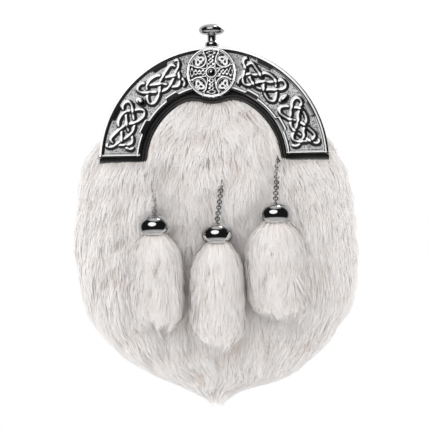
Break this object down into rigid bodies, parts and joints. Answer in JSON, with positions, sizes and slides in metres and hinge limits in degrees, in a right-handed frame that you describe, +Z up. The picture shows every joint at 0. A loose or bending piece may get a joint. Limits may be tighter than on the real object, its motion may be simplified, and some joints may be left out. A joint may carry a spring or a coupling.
{
  "type": "full dress sporran pouch",
  "caption": "Leather pouch under long white fur, hung from an arched cast metal top with knotwork, a round cross badge, a knob, and fur tassels in bells on short chains.",
  "frame": {"origin": "middle of the flat back, at the height of the middle of the two strap loops", "axes": "+Z up, +X to the right of a viewer who faces the front, the front faces -Y"},
  "size_m": [0.1868, 0.0645, 0.2499],
  "materials": {
    "silver": "bright cast relief, darkened in the hollows",
    "chrome": "mirror polished",
    "black_leather": "smooth black hide, half matt",
    "white_fur": "long soft white fur, combed downward"
  },
  "bodies": {
    "root": {"cantle": "silver", "cross_boss": "silver", "plunger": "chrome", "cantle_backing": "black_leather", "front_panel": "black_leather", "back_panel": "black_leather", "gusset": "black_leather", "fur_pelt": "white_fur", "eyelet_left": "chrome", "chain_left": "chrome", "bell_left": "chrome", "tassel_left": "white_fur", "eyelet_middle": "chrome", "chain_middle": "chrome", "bell_middle": "chrome", "tassel_middle": "white_fur", "eyelet_right": "chrome", "chain_right": "chrome", "bell_right": "chrome", "tassel_right": "white_fur", "strap_loop_left": "black_leather", "strap_loop_right": "black_leather"}
  },
  "joints": []
}
